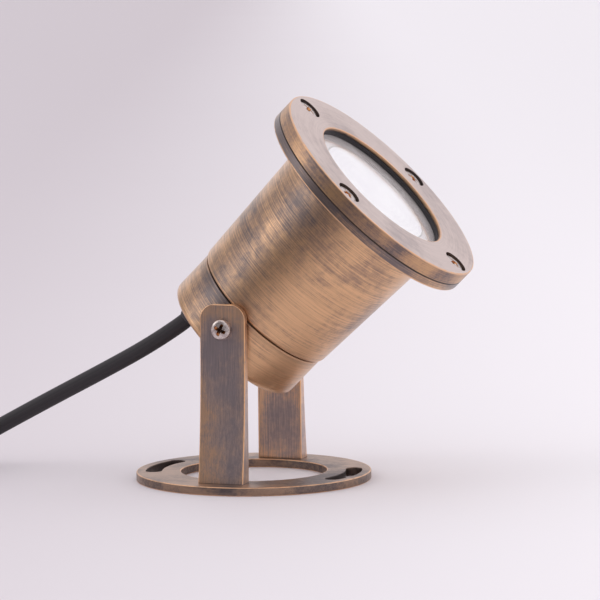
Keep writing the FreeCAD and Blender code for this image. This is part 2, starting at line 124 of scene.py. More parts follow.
def makePiece(name, patches, body, finish, sharp=35, weld=2e-6):
    # the patches as one welded mesh, smooth apart from its sharp edges
    counts = np.cumsum([0] + [len(p["points"]) for p in patches])
    faces = np.concatenate([p["faces"] + first for p, first in zip(patches, counts)])
    joined = {key: np.concatenate([p[key] for p in patches]) for key in ("points", "wear", "uv")}
    mesh = bpy.data.meshes.new(name)
    mesh.from_pydata((joined["points"] * mm).tolist(), [], faces.tolist())
    wear = mesh.attributes.new("wear", "FLOAT", "POINT")
    wear.data.foreach_set("value", joined["wear"].astype(np.float32))
    layer = mesh.uv_layers.new(name="grain")
    layer.data.foreach_set("uv", joined["uv"].astype(np.float32).ravel())
    work = bmesh.new()
    work.from_mesh(mesh)
    bmesh.ops.remove_doubles(work, verts=work.verts, dist=weld)
    bmesh.ops.dissolve_degenerate(work, edges=work.edges, dist=weld / 2)
    bmesh.ops.recalc_face_normals(work, faces=work.faces)
    work.to_mesh(mesh)
    work.free()
    mesh.shade_smooth()
    mesh.set_sharp_from_angle(angle=math.radians(sharp))
    mesh.materials.append(finishes[finish])
    piece = newObject(name, mesh)
    if body:
        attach(piece, body)
    return piece


def standFor(piece, node):
    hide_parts(node)


def roundAngles(count):
    return np.linspace(0, fullTurn, count, endpoint=False)


def onCircle(angle):
    return np.stack([np.cos(angle), np.sin(angle)], -1)


def turnedRows(station, radius, columns, start=0.0):
    # (station, r cos a, r sin a), with one radius for a whole row or one for each of its points
    angle = roundAngles(columns) + start
    station, radius = np.reshape(station, (-1, 1)), np.reshape(radius, (len(station), -1))
    return np.stack([station + 0 * angle, radius * np.cos(angle), radius * np.sin(angle)], -1)


def capped(rows, first, last):
    # one more row at each end, drawn in to a point, so that both ends are closed
    return np.concatenate([np.broadcast_to(first, rows[:1].shape), rows,
                           np.broadcast_to(last, rows[:1].shape)])


def roundedCorners(corners, steps=4, support=0.15, closed=True):
    # an outline whose corners (a, b, radius, wear and shade) are rounded by the curve c + (p - c)(1-t)^2 +
    # (q - c)t^2, with p and q one radius before and after the corner c; left out, radius is 0 and a round's
    # wear 1; below 0 is painted shade
    corners = np.array([tuple(c) + ((0, 0), (1,), ())[len(c) - 2] for c in corners], float)
    place, radius, wornAndShaded = corners[:, :2], corners[:, 2], corners[:, 3]
    t = np.linspace(0, 1, steps + 1)[:, None]
    points, wear = [], []
    for index, at in enumerate(place):
        before, after = place[index - 1] - at, place[(index + 1) % len(place)] - at
        ends = not closed and index in (0, len(place) - 1)
        if radius[index] == 0 or ends:
            points.append(at[None])
            wear.append(wornAndShaded[index:index + 1])
            continue
        toBefore, toAfter = before / np.linalg.norm(before), after / np.linalg.norm(after)
        p, q = at + toBefore * radius[index], at + toAfter * radius[index]
        arc = at + (p - at) * (1 - t) ** 2 + (q - at) * t ** 2
        # a support point beyond each end that has room for it
        reach = radius[index] + support
        room = [reach < 0.45 * np.linalg.norm(side) for side in (before, after)]
        kept = slice(0 if room[0] else 1, None if room[1] else -1)
        points.append(np.concatenate([[at + toBefore * reach], arc, [at + toAfter * reach]])[kept])
        wear.append(np.concatenate([[0], np.full(len(arc), wornAndShaded[index]), [0]])[kept])
    return np.concatenate(points), np.concatenate(wear)


def turnedHeadPiece(name, outline, wear, finish, columns=192):
    # (station, radius) turned about the light's axis, and left open where it begins on that axis
    points = inHead(turnedRows(outline[:, 0], outline[:, 1], columns))
    grid = patch(points, np.reshape(wear, (-1, 1)), closeRows=outline[0, 1] > 0)
    return makePiece(name, [grid], "head", finish)


def facing(points, towards):
    # turns points about +X to points about +Y (towards 1) or -Y (towards -1), without mirroring them
    return np.stack([-towards * points[..., 1], towards * points[..., 0], points[..., 2]], -1)


# Materials

def addNode(tree, kind, values=None, **settings):
    # a node with its settings; a value that is another node's output is linked
    node = tree.nodes.new(kind)
    for key, value in settings.items():
        setattr(node, key, value)
    for key, value in (values or {}).items():
        if isinstance(value, bpy.types.NodeSocket):
            tree.links.new(value, node.inputs[key])
        else:
            node.inputs[key].default_value = value
    return node


def newGroup(name, takes, gives):
    group = bpy.data.node_groups.new(name, "ShaderNodeTree")
    for label, kind, value in takes:
        socket = group.interface.new_socket(name=label, in_out="INPUT", socket_type="NodeSocket" + kind)
        if value is not None:
            socket.default_value = value
    for label, kind in gives:
        group.interface.new_socket(name=label, in_out="OUTPUT", socket_type="NodeSocket" + kind)
    return group, group.nodes.new("NodeGroupInput").outputs, group.nodes.new("NodeGroupOutput").inputs


def mathNode(tree, operation, a, b=None, c=None, clamp=False):
    values = {index: value for index, value in enumerate((a, b, c)) if value is not None}
    return addNode(tree, "ShaderNodeMath", values, operation=operation, use_clamp=clamp).outputs[0]


def mixColours(tree, share, a, b, blend="MIX"):
    node = addNode(tree, "ShaderNodeMix", {0: share, 6: a, 7: b}, data_type="RGBA", blend_type=blend)
    return node.outputs[2]


def noise(tree, vector, scale, detail=3.0, rough=0.55):
    values = {"Vector": vector, "Scale": scale, "Detail": detail, "Roughness": rough}
    return addNode(tree, "ShaderNodeTexNoise", values).outputs["Fac"]


def smoothStep(tree, value, low, high):
    values = {"Value": value, "From Min": low, "From Max": high}
    return addNode(tree, "ShaderNodeMapRange", values, interpolation_type="SMOOTHSTEP").outputs[0]


def linkAll(tree, sockets, values):
    for key, value in values.items():
        tree.links.new(value, sockets[key])


def objectPlace(tree):
    return addNode(tree, "ShaderNodeTexCoord").outputs["Object"]


def bumpNormal(tree, height, strength, distance):
    values = {"Height": height, "Strength": strength, "Distance": distance}
    return addNode(tree, "ShaderNodeBump", values).outputs[0]


# Brush marks, in noise cells for each metre: across and along turned ones, and along x, y and z
brushMarks = {"turned": (4800.0, 75.0), "upright": (4800, 4800, 120), "flat": (300, 1800, 1800)}
streakRange = (0.34, 0.66)


def makeLatheGroup():
    # the light's axis as coordinates: station, radius, and a vector that is fine across the turning marks
    fine, slow = brushMarks["turned"]
    group, takes, gives = newGroup("latheCoordinates", [("Fineness", "Float", fine)],
                                   [("Marks", "Vector"), ("Own", "Vector"), ("Station", "Float"),
                                    ("Radius", "Float")])
    drop = head["pivotHeight"] * mm * math.sqrt(0.5)
    own = addNode(group, "ShaderNodeMapping", {"Vector": objectPlace(group), "Location": (-drop, 0, -drop),
                                               "Rotation": (0, head["tilt"], 0)}).outputs[0]
    station, y, z = addNode(group, "ShaderNodeSeparateXYZ", {0: own}).outputs
    squares = mathNode(group, "ADD", mathNode(group, "MULTIPLY", y, y), mathNode(group, "MULTIPLY", z, z))
    radius = mathNode(group, "SQRT", squares)
    across = mathNode(group, "MULTIPLY", mathNode(group, "ADD", station, radius), takes["Fineness"])
    marks = addNode(group, "ShaderNodeCombineXYZ", {0: across, 1: mathNode(group, "MULTIPLY", y, slow),
                                                    2: mathNode(group, "MULTIPLY", z, slow)})
    linkAll(group, gives, {"Marks": marks.outputs[0], "Own": own, "Station": station, "Radius": radius})
    return group


def makeGrainGroup():
    # brushed marks: a height for bump, and a streak value round 0.5 that is 0.6 broad and 0.4 fine noise
    group, takes, gives = newGroup("brushedGrain", [("Vector", "Vector", None)],
                                   [("Height", "Float"), ("Streak", "Float")])
    broad = noise(group, takes["Vector"], 0.35, 4.0, 0.7)
    fine = noise(group, takes["Vector"], 1.6, 2.0, 0.6)
    streak = mathNode(group, "MULTIPLY_ADD", fine, 0.4, mathNode(group, "MULTIPLY", broad, 0.6))
    linkAll(group, gives, {"Height": mathNode(group, "ADD", broad, fine), "Streak": streak})
    return group


def makePatinaGroup():
    # aged brass: bare metal that goes brown and then grey-brown in clouds, rubbed through along the brush
    # marks, by tarnish = 0.85 cloud + 0.26 mottle + 0.13 lines + age - 0.62
    group, takes, gives = newGroup(
        "agedPatina",
        [("Vector", "Vector", None), ("Streak", "Float", 0.5), ("Size", "Float", 30.0),
         ("Age", "Float", 0.5), ("Bare", "Color", None), ("Brown", "Color", None), ("Dark", "Color", None)],
        [("Color", "Color"), ("Tarnish", "Float")])
    cloud = noise(group, takes["Vector"], takes["Size"], 3.0, 0.5)
    mottle = noise(group, takes["Vector"], mathNode(group, "MULTIPLY", takes["Size"], 12.0), 3.0, 0.65)
    lines = smoothStep(group, takes["Streak"], *streakRange)
    mixed = mathNode(group, "MULTIPLY_ADD", lines, 0.13, mathNode(
        group, "MULTIPLY_ADD", mottle, 0.26, mathNode(group, "MULTIPLY", cloud, 0.85)))
    tarnish = mathNode(group, "ADD", mixed, mathNode(group, "SUBTRACT", takes["Age"], 0.62))
    browned = mixColours(group, smoothStep(group, tarnish, 0.38, 0.56), takes["Bare"], takes["Brown"])
    darkened = mixColours(group, smoothStep(group, tarnish, 0.50, 0.68), browned, takes["Dark"])
    linkAll(group, gives, {"Color": darkened, "Tarnish": smoothStep(group, tarnish, 0.38, 0.66)})
    return group


def makeWearAndShadeGroup():
    # the mesh's wear and shade: above 0 its rubbed edges, broken up by noise, with a border where it is just
    # above 0, and below 0 painted shade in its hollows, grooves and joints, with a dark stain beside the
    # cap's joint
    group, takes, gives = newGroup("rubbedEdges", [("Amount", "Float", 1.0)],
                                   [("Mask", "Float"), ("Hollow", "Float"), ("Border", "Float")])
    edge = addNode(group, "ShaderNodeAttribute", attribute_name="wear").outputs["Fac"]
    broken = smoothStep(group, noise(group, objectPlace(group), 220.0, 4.0, 0.65), 0.25, 0.55)
    rubbed = mathNode(group, "MULTIPLY", smoothStep(group, edge, 0.25, 0.95), broken)
    linkAll(group, gives, {
        "Mask": mathNode(group, "MULTIPLY", rubbed, takes["Amount"], clamp=True),
        "Hollow": smoothStep(group, mathNode(group, "MULTIPLY", edge, -1.0), 0.05, 1.0),
        "Border": smoothStep(group, edge, 0.0, 0.3)})
    return group


# rubbed is the group for the rubbed edges and for the painted shade
lathe, grain, patina, rubbed = makeLatheGroup(), makeGrainGroup(), makePatinaGroup(), makeWearAndShadeGroup()


def useGroup(tree, group, values=None):
    return addNode(tree, "ShaderNodeGroup", values, node_tree=group).outputs


def newMaterial(name, constants):
    material = bpy.data.materials.new(name)
    material.use_nodes = True
    tree = material.node_tree
    shader = tree.nodes["Principled BSDF"]
    for key, value in constants.items():
        shader.inputs[key].default_value = value
    return material, tree, shader


# Colours are linear. Age is how far the patina has gone: rimAge is added on the turned rims and border is
# taken off beside the edges; upperDarkening is added to it towards the head's upper side, so that it renders
# darker there. Streak is how much the brush marks darken and brighten, grain which way they run, and sides
# another look for the face ring's side.
commonBrass = {"rimAge": 0.0, "upperDarkening": 0.0, "border": 0.12, "bump": 0.08, "anisotropic": 0.3}
brassLooks = {
    "aged_brass": dict(commonBrass, bare=(0.72, 0.442, 0.247, 1), brown=(0.45, 0.287, 0.19, 1),
                       dark=(0.19, 0.15, 0.145, 1), rub=(0.80, 0.50, 0.29, 1), size=24.0, age=0.46,
                       rimAge=0.17, grain="turned", rough=(0.27, 0.38), bump=0.16, anisotropic=0.4, coat=0.5,
                       streak=0.6),
    "dark_brass": dict(commonBrass, bare=(0.61, 0.39, 0.258, 1), brown=(0.41, 0.304, 0.268, 1),
                       dark=(0.283, 0.235, 0.242, 1), rub=(0.90, 0.53, 0.28, 1), size=36.0, age=0.55,
                       grain="upright", rough=(0.38, 0.50), coat=0.6, streak=0.55),
    # face_brass: the face ring's front, pale partly from a whitish patina and partly painted reflection of
    # the pale backdrop
    "face_brass": dict(commonBrass, bare=(0.66, 0.55, 0.51, 1), brown=(0.60, 0.50, 0.465, 1),
                       dark=(0.49, 0.41, 0.395, 1), rub=(0.80, 0.48, 0.27, 1), size=30.0, age=0.46,
                       grain="turned", rough=(0.36, 0.46), bump=0.05, coat=0.2, streak=0.2,
                       sides="rim_brass"),
    "ring_brass": dict(commonBrass, bare=(0.42, 0.28, 0.20, 1), brown=(0.27, 0.20, 0.17, 1),
                       dark=(0.165, 0.135, 0.135, 1), rub=(0.78, 0.48, 0.29, 1), size=40.0, age=0.48,
                       grain="flat", rough=(0.40, 0.52), anisotropic=0.0, coat=0.15, streak=0.5),
}
brassLooks["far_brass"] = dict(brassLooks["dark_brass"], age=0.46, brown=(0.50, 0.37, 0.33, 1),
                               bare=(0.80, 0.50, 0.31, 1), dark=(0.34, 0.28, 0.285, 1))
brassLooks["cap_brass"] = dict(brassLooks["aged_brass"], age=0.37, upperDarkening=0.19)
brassLooks["rim_brass"] = dict(brassLooks["aged_brass"], rimAge=0.07, size=60.0,
                               bare=(0.57, 0.35, 0.20, 1), brown=(0.39, 0.25, 0.175, 1))
brushed = {"bright": (1.14, 1.13, 1.1, 1), "dull": (0.70, 0.69, 0.70, 1)}
# near-black of the painted shade in hollows, grooves, joints and recesses, and of the dark stain beside the
# cap's joint
shadeAndStainColour = (0.05, 0.037, 0.035, 1)
faceFront = (0.0780, 0.0784)  # stations in metres between the face ring's side and front
rimRadii = (0.038, 0.046)
upperHeights = (-0.012, 0.016)


def agedColour(tree, look, own, turning, streak, border):
    # patina of one look; its age grows towards the turned rims, and it goes darker towards the head's upper
    # side
    atRim = smoothStep(tree, turning["Radius"], *rimRadii)
    height = addNode(tree, "ShaderNodeSeparateXYZ", {0: own}).outputs[2]
    age = mathNode(tree, "MULTIPLY_ADD", atRim, look["rimAge"], look["age"])
    age = mathNode(tree, "MULTIPLY_ADD", smoothStep(tree, height, *upperHeights), look["upperDarkening"], age)
    age = mathNode(tree, "MULTIPLY_ADD", border, -look["border"], age)
    return useGroup(tree, patina, {"Vector": own, "Streak": streak, "Size": look["size"], "Age": age,
                                   "Bare": look["bare"], "Brown": look["brown"], "Dark": look["dark"]})


def brassMaterial(name, look):
    # patina, brush marks multiplied over it, painted shade (and the cap's dark stain) in the hollows, and
    # bright metal on the rubbed edges
    material, tree, shader = newMaterial(name, {
        "Metallic": 1.0, "Anisotropic": look["anisotropic"], "Coat Weight": look["coat"],
        "Coat Roughness": 0.28, "Coat IOR": 1.5})
    turning = useGroup(tree, lathe)
    marks, own = turning["Marks"], turning["Own"]
    if look["grain"] != "turned":
        own = objectPlace(tree)
        scale = brushMarks[look["grain"]]
        marks = addNode(tree, "ShaderNodeMapping", {"Vector": own, "Scale": scale}).outputs[0]
    height, streak = useGroup(tree, grain, {"Vector": marks})
    mask, shadeAndStain, border = useGroup(tree, rubbed, {"Amount": 0.95})
    metal, tarnish = agedColour(tree, look, own, turning, streak, border)
    if "sides" in look:
        sides = agedColour(tree, brassLooks[look["sides"]], own, turning, streak, border)
        onFront = smoothStep(tree, turning["Station"], *faceFront)
        metal = mixColours(tree, onFront, sides["Color"], metal)
    brushing = mixColours(tree, smoothStep(tree, streak, *streakRange), brushed["bright"], brushed["dull"])
    metal = mixColours(tree, look["streak"], metal, brushing, "MULTIPLY")
    # painted shade, and the cap's stain, where the mesh's wear and shade is below 0
    metal = mixColours(tree, shadeAndStain, metal, shadeAndStainColour)
    low, high = look["rough"]
    rough = mathNode(tree, "MULTIPLY_ADD", tarnish, high - low, low)
    linkAll(tree, shader.inputs, {
        "Base Color": mixColours(tree, mask, metal, look["rub"]),
        "Roughness": mathNode(tree, "MULTIPLY_ADD", streak, 0.08, rough),
        "Normal": bumpNormal(tree, height, look["bump"], 0.0004)})
    if look["anisotropic"]:
        tangent = addNode(tree, "ShaderNodeTangent", direction_type="UV_MAP", uv_map="grain")
        tree.links.new(tangent.outputs[0], shader.inputs["Tangent"])
    return material


finishes = {name: brassMaterial(name, look) for name, look in brassLooks.items()}


def plainMaterial(name, colours, scale, rough, bump, metallic, glow=0.0):
    # two close colours mixed by noise, for the rubber, plastic, paint and small metal parts
    material, tree, shader = newMaterial(name, {"Metallic": metallic, "Emission Strength": glow})
    speckle = noise(tree, objectPlace(tree), scale, 4.0, 0.6)
    colour = mixColours(tree, smoothStep(tree, speckle, 0.35, 0.65), *colours)
    low, high = rough
    linkAll(tree, shader.inputs, {
        "Base Color": colour, "Roughness": mathNode(tree, "MULTIPLY_ADD", speckle, high - low, low),
        "Normal": bumpNormal(tree, speckle, bump, 0.0003)})
    if glow:
        tree.links.new(colour, shader.inputs["Emission Color"])
    return material


# Colours, noise cells a metre, roughness, bump, metallic, and the glow of a plate: painted light standing in
# for the light that reaches it through the glass
plainLooks = {
    "black_rubber": ([(0.035, 0.031, 0.034, 1), (0.055, 0.048, 0.052, 1)], 1500, (0.5, 0.7), 0.1, 0.0),
    "lamp_metal": ([(0.62, 0.60, 0.58, 1), (0.74, 0.72, 0.70, 1)], 400, (0.25, 0.4), 0.05, 1.0),
    "plate_white": ([(0.84, 0.77, 0.76, 1), (0.90, 0.85, 0.84, 1)], 120, (0.4, 0.55), 0.03, 0.0, 0.22),
    "white_plastic": ([(0.74, 0.72, 0.68, 1), (0.82, 0.80, 0.77, 1)], 600, (0.4, 0.55), 0.05, 0.0),
    "joint_metal": ([(0.55, 0.50, 0.46, 1), (0.68, 0.63, 0.58, 1)], 900, (0.3, 0.45), 0.08, 1.0),
    "core_black": ([(0.03, 0.03, 0.03, 1), (0.05, 0.05, 0.05, 1)], 1200, (0.45, 0.6), 0.05, 0.0),
    "tie_black": ([(0.035, 0.035, 0.037, 1), (0.055, 0.055, 0.058, 1)], 900, (0.4, 0.55), 0.06, 0.0),
    "bare_copper": ([(0.72, 0.36, 0.20, 1), (0.84, 0.46, 0.28, 1)], 2500, (0.2, 0.35), 0.15, 1.0),
}
finishes.update({name: plainMaterial(name, *look) for name, look in plainLooks.items()})


def makeScrewFinish():
    # worn plated steel; the cross recess goes orange-brown at its mouth, and painted shade makes it nearly
    # black inside, under the head and on the sides of heads sunk in counterbores
    material, tree, shader = newMaterial("screw_steel", {"Metallic": 1.0})
    speckle = noise(tree, objectPlace(tree), 700.0, 4.0, 0.65)
    wear = useGroup(tree, rubbed, {"Amount": 0.4})
    plated = mixColours(tree, smoothStep(tree, speckle, 0.36, 0.62), (0.44, 0.37, 0.355, 1),
                        (0.74, 0.66, 0.62, 1))
    mouth = mixColours(tree, smoothStep(tree, wear["Hollow"], 0.0, 0.1), plated, (0.62, 0.30, 0.12, 1))
    # painted shade: nearly black deep in the recess, under the head and on sunk heads' sides
    inside = mixColours(tree, smoothStep(tree, wear["Hollow"], 0.4, 0.95), mouth, (0.055, 0.036, 0.03, 1))
    linkAll(tree, shader.inputs, {
        "Base Color": mixColours(tree, wear["Mask"], inside, (0.80, 0.66, 0.56, 1)),
        "Roughness": mathNode(tree, "MULTIPLY_ADD", speckle, 0.2, 0.22),
        "Normal": bumpNormal(tree, speckle, 0.1, 0.0003)})
    return material


def makeCableFinish():
    # satin rubber sheath, with faint marks that follow the lead
    material, tree, shader = newMaterial("cable_black", {"Specular IOR Level": 0.35})
    along = addNode(tree, "ShaderNodeUVMap", uv_map="grain").outputs[0]
    drawn = addNode(tree, "ShaderNodeMapping", {"Vector": along, "Scale": (24, 1.5, 1)}).outputs[0]
    marks, specks = noise(tree, drawn, 1.0), noise(tree, objectPlace(tree), 1800.0)
    linkAll(tree, shader.inputs, {
        "Base Color": mixColours(tree, smoothStep(tree, marks, 0.3, 0.7), (0.022, 0.019, 0.022, 1),
                                 (0.034, 0.029, 0.033, 1)),
        "Roughness": mathNode(tree, "MULTIPLY_ADD", specks, 0.2, 0.48),
        "Normal": bumpNormal(tree, specks, 0.12, 0.0002)})
    return material


def makeGlassFinish():
    # clear glass with a faint smear
    material, tree, shader = newMaterial("lens_glass", {"Transmission Weight": 1.0, "IOR": 1.5,
                                                        "Roughness": 0.0})
    smear = noise(tree, objectPlace(tree), 60.0)
    tint = mixColours(tree, smoothStep(tree, smear, 0.3, 0.7), (0.985, 0.975, 0.985, 1), (1, 0.99, 1, 1))
    linkAll(tree, shader.inputs, {"Base Color": tint, "Roughness": mathNode(tree, "MULTIPLY", smear, 0.02)})
    return material


def makeLampFinish():
    # frosted diffuser with faint moulded rings, lit softly from behind: cloud + 0.12 sin(2600 radius)
    material, tree, shader = newMaterial("lamp_white", {"Emission Strength": 0.42})
    turning = useGroup(tree, lathe)
    wave = mathNode(tree, "SINE", mathNode(tree, "MULTIPLY", turning["Radius"], 2600.0))
    cloud = noise(tree, turning["Own"], 70.0)
    shade = mathNode(tree, "MULTIPLY_ADD", wave, 0.12, cloud)
    colour = mixColours(tree, smoothStep(tree, shade, 0.25, 0.8), (0.88, 0.87, 0.90, 1),
                        (0.98, 0.98, 0.99, 1))
    linkAll(tree, shader.inputs, {"Base Color": colour, "Emission Color": colour,
                                  "Roughness": mathNode(tree, "MULTIPLY_ADD", cloud, 0.2, 0.35)})
    return material


finishes.update(screw_steel=makeScrewFinish(), cable_black=makeCableFinish(), lens_glass=makeGlassFinish(),
                lamp_white=makeLampFinish())

for node in frame["nodes"].values():
    named = node.data.materials[0].name.split(".")[0] if node.data.materials else ""
    slots = [m["slot"] for m in frame["record"]["materials"] if node.name in m.get("nodes", [])]
    wanted = slots[0] if slots else named
    if wanted in finishes:
        node.data.materials.clear()
        node.data.materials.append(finishes[wanted])
print("materials ready")


# Supply lead: a smooth curve through the route's points, then the put-away coil

lead = {"diameter": 6.5, "nose": (-20.1, 0, 19.5), "firstRun": 2.0,
        "route": [(-45.5, 0, 52.3), (-64.1, 0, 42.2), (-89.1, 0, 29.2), (-111.3, 0, 17.3), (-135.0, 0, 4.3)],
        "coilStart": (-156.0, 0, 4.3), "coilOuterRadius": 43.0, "coilPitch": 7.2, "coilLayerHeight": 7.0,
        "turnsPerLayer": 1, "pointsPerTurn": 16, "sides": 20, "blendEnd": (-112.0, 0, 17.0)}


def coilPoints(angle):
    # two flat layers: radius shrinks by a pitch a turn, and grows again after the reversal, where the height
    # climbs by one layer
    past = angle - fullTurn * lead["turnsPerLayer"]
    turning = np.abs(past) < math.pi / 2
    spread = np.where(turning, past ** 2 / math.pi + math.pi / 4, np.abs(past))
    climb = np.where(turning, 0.5 + 0.5 * np.sin(past), np.where(past < 0, 0.0, 1.0))
    pitch = lead["coilPitch"]
    radius = lead["coilOuterRadius"] - pitch * lead["turnsPerLayer"] + pitch * spread / fullTurn
    return np.stack([radius * np.cos(angle), radius * np.sin(angle), climb * lead["coilLayerHeight"]], -1)


def placedCoil(points):
    # turned so that the coil sets off along -X, one diameter past the end of the free stretch
    step = coilPoints(np.array([-1e-4, 1e-4]))
    way = step[1] - step[0]
    turn = math.pi - math.atan2(way[1], way[0])
    spin = np.array([[math.cos(turn), -math.sin(turn), 0], [math.sin(turn), math.cos(turn), 0], [0, 0, 1]])
    start = spin @ coilPoints(np.array([0.0]))[0]
    return points @ spin.T + np.array(lead["coilStart"]) - (lead["diameter"], 0, 0) - start


def coilEndWay():
    end = 2 * fullTurn * lead["turnsPerLayer"]
    before, last, after = placedCoil(coilPoints(end + np.array([-1e-4, 0, 1e-4])))
    return (after - before) / np.linalg.norm(after - before), last


def leadCentreLine():
    exitPoint = inHead(np.array(lead["nose"], float))
    outward = headTurn @ np.array([-1.0, 0, 0])
    turns = 2 * lead["turnsPerLayer"]
    angles = np.linspace(0, fullTurn * turns, turns * lead["pointsPerTurn"] + 1)
    way, last = coilEndWay()
    points = np.concatenate([[exitPoint, exitPoint + outward * lead["firstRun"]], lead["route"],
                             [lead["coilStart"]], placedCoil(coilPoints(angles)),
                             [last + way * lead["diameter"]]])
    curve = bpy.data.curves.new("leadLine", "CURVE")
    curve.dimensions = "3D"
    spline = curve.splines.new("NURBS")
    spline.points.add(len(points) - 1)
    spline.points.foreach_set("co", np.column_stack([points * mm, np.ones(len(points))]).ravel())
    spline.order_u, spline.use_endpoint_u, spline.resolution_u = 3, True, 10
    holder = newObject("leadLine", curve)
    bpy.context.view_layer.update()
    line = bpy.data.meshes.new_from_object(holder.evaluated_get(bpy.context.evaluated_depsgraph_get()))
    centre = np.zeros(len(line.vertices) * 3)
    line.vertices.foreach_get("co", centre)
    bpy.data.objects.remove(holder)
    return centre.reshape(-1, 3) / mm, exitPoint


def closedTube(centre, radius, sides):
    # circle carried along a line: centre + r (side cos a + over sin a), side level and square to the line
    way = np.gradient(centre, axis=0)
    way /= np.linalg.norm(way, axis=1)[:, None]
    side = np.cross(way, [0, 0, 1])
    side /= np.linalg.norm(side, axis=1)[:, None]
    over = np.cross(side, way)
    angle = roundAngles(sides)[:, None]
    rings = centre[:, None] + radius * (side[:, None] * np.cos(angle) + over[:, None] * np.sin(angle))
    return patch(capped(rings, centre[0], centre[-1]))


def makeLead():
    centre, exitPoint = leadCentreLine()
    tube = closedTube(centre, lead["diameter"] / 2, lead["sides"])
    sheath = makePiece("supplyLead", [tube], None, "cable_black", sharp=50)
    length = float(np.linalg.norm(np.diff(centre, axis=0), axis=1).sum()) * mm
    print("lead length", round(length, 4))
    return sheath, centre, exitPoint, length


sheath, leadLine, leadExit, leadLength = makeLead()


# Coil tie: a strap round both layers, half a turn on from the coil's start

tie = {"width": 4.5, "thickness": 1.0, "clearance": 0.25, "corner": 0.16, "pressed": 0.2, "headLength": 7.0,
       "headHeight": 4.0, "headOverhang": 1.6, "headCorner": 0.7, "headSunk": 0.3}
noSupport = 9  # a reach longer than any side, so that the rounded corners get no support points


def boxCorners(halfWidth, low, high, radius):
    return [(-halfWidth, low, radius), (halfWidth, low, radius), (halfWidth, high, radius),
            (-halfWidth, high, radius)]


def makeTie():
    reach = lead["diameter"] / 2 + tie["clearance"] + tie["thickness"] / 2
    rowRadius = np.linalg.norm(coilPoints(np.array([math.pi]))[0][:2])
    tall = lead["coilLayerHeight"] / 2
    # stadium in the plane across the turns, then a thin rounded section swept along it
    outward = onCircle(roundAngles(64))
    loop = outward * (reach, reach - tie["pressed"])
    loop[:, 1] += np.sign(outward[:, 1]) * tall
    section = roundedCorners(boxCorners(0.5, -0.5, 0.5, tie["corner"]), 3, noSupport)[0]
    section *= (tie["thickness"], tie["width"])
    inPlane = loop[:, None] + outward[:, None] * section[None, :, :1]
    x = inPlane[..., 0] - rowRadius
    points = np.stack([x, np.broadcast_to(section[:, 1], x.shape), tall + inPlane[..., 1]], -1)
    strap = patch(placedCoil(points), closeRows=True)
    # head: one outline at each depth, drawn in towards its outer end, and to a point at both ends
    halfHead, length, height = (tie["width"] + tie["headOverhang"]) / 2, tie["headLength"], tie["headHeight"]
    corners = roundedCorners(boxCorners(halfHead, 0, length, tie["headCorner"]), 3, noSupport)[0]
    depth = np.array([0, 0, 0.5, 1.0, height - 1.0, height - 0.3, height, height])[:, None]
    shrink = np.array([0, 1, 1, 1, 1, 0.97, 0.88, 0])[:, None, None]
    middle = np.array([0, length / 2])
    outline = middle + (corners - middle) * shrink
    outer = rowRadius + reach + tie["thickness"] / 2 - tie["headSunk"]
    block = np.stack([0 * outline[..., 0] - outer - depth, outline[..., 0], outline[..., 1] + tall], -1)
    piece = makePiece("coilTie", [strap, patch(placedCoil(block))], "base", "tie_black")
    standFor(piece, "cable_tie")
    return piece


coilTie = makeTie()


# Far end of the lead: two stripped cores with bare strands

farEnd = {"coreLength": 22.0, "copperLength": 7.0, "coreDiameter": 2.2, "spacing": 2.8, "splay": 0.9,
          "tucked": 0.5, "strands": 7, "strandCircle": 0.45, "strandRadius": 0.23}


def makeFarEnd():
    way, last = coilEndWay()
    root = last + way * lead["diameter"]
    across = np.cross(way, [0, 0, 1])
    over = np.cross(across, way)
    t, spin = np.linspace(0, 1, 24)[:, None], np.linspace(0, 1, 20)[:, None]
    tucked, count = farEnd["tucked"], farEnd["strands"]
    cores, strands = [], []
    for side in (-1, 1):
        start = root + across * side * farEnd["spacing"] / 2 - way * tucked
        splay = across * side * farEnd["splay"] * np.sin(t * math.pi / 2) ** 2
        line = start + way * (farEnd["coreLength"] + tucked) * t + splay
        cores.append(closedTube(line, farEnd["coreDiameter"] / 2, 12))
        # six strands twisted by half a turn round a straight one
        straight = line[-1] - way * tucked + way * farEnd["copperLength"] * spin
        for strand in range(count):
            phase = spin * math.pi + strand * fullTurn / (count - 1)
            out = 0.0 if strand == count - 1 else farEnd["strandCircle"]
            twist = out * (across * np.cos(phase) + over * np.sin(phase))
            strands.append(closedTube(straight + twist, farEnd["strandRadius"], 8))
    insulated = makePiece("endCores", cores, "base", "core_black")
    bare = makePiece("endStrands", strands, "base", "bare_copper")
    standFor(insulated, "end_cores")
    standFor(bare, "end_copper")
    return insulated, bare


endCores, endStrands = makeFarEnd()
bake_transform(sheath)
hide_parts("cable", "cable_coil")
print("lead ready")


# Flat rings with openings on a circle: the slotted base, and the face ring with its counterbores

def openingEdges(circle, halfAngle, halfWidth, ends=10, straight=18):
    # inner and outer edge of a curved slot with round ends, point by point along it, about angle 0;
    # with halfAngle 0 it is a round hole
    sweep = np.linspace(0, math.pi / 2, ends + 1)[:-1]
    bend = np.linspace(-halfAngle, halfAngle, straight) if halfAngle else np.zeros(1)
    angle = np.concatenate([np.full(ends, -halfAngle), bend, np.full(ends, halfAngle)])
    outward = np.concatenate([np.sin(sweep), np.ones(len(bend)), np.sin(sweep)[::-1]]) * halfWidth
    sideways = np.concatenate([-np.cos(sweep), np.zeros(len(bend)), np.cos(sweep)[::-1]]) * halfWidth
    cos, sin = np.cos(angle), np.sin(angle)
    return [np.stack([x * cos - sideways * sin, x * sin + sideways * cos], -1)
            for x in (circle - outward, circle + outward)]


def spun(points, angle):
    turn = np.array([[math.cos(angle), -math.sin(angle)], [math.sin(angle), math.cos(angle)]])
    return points @ turn.T


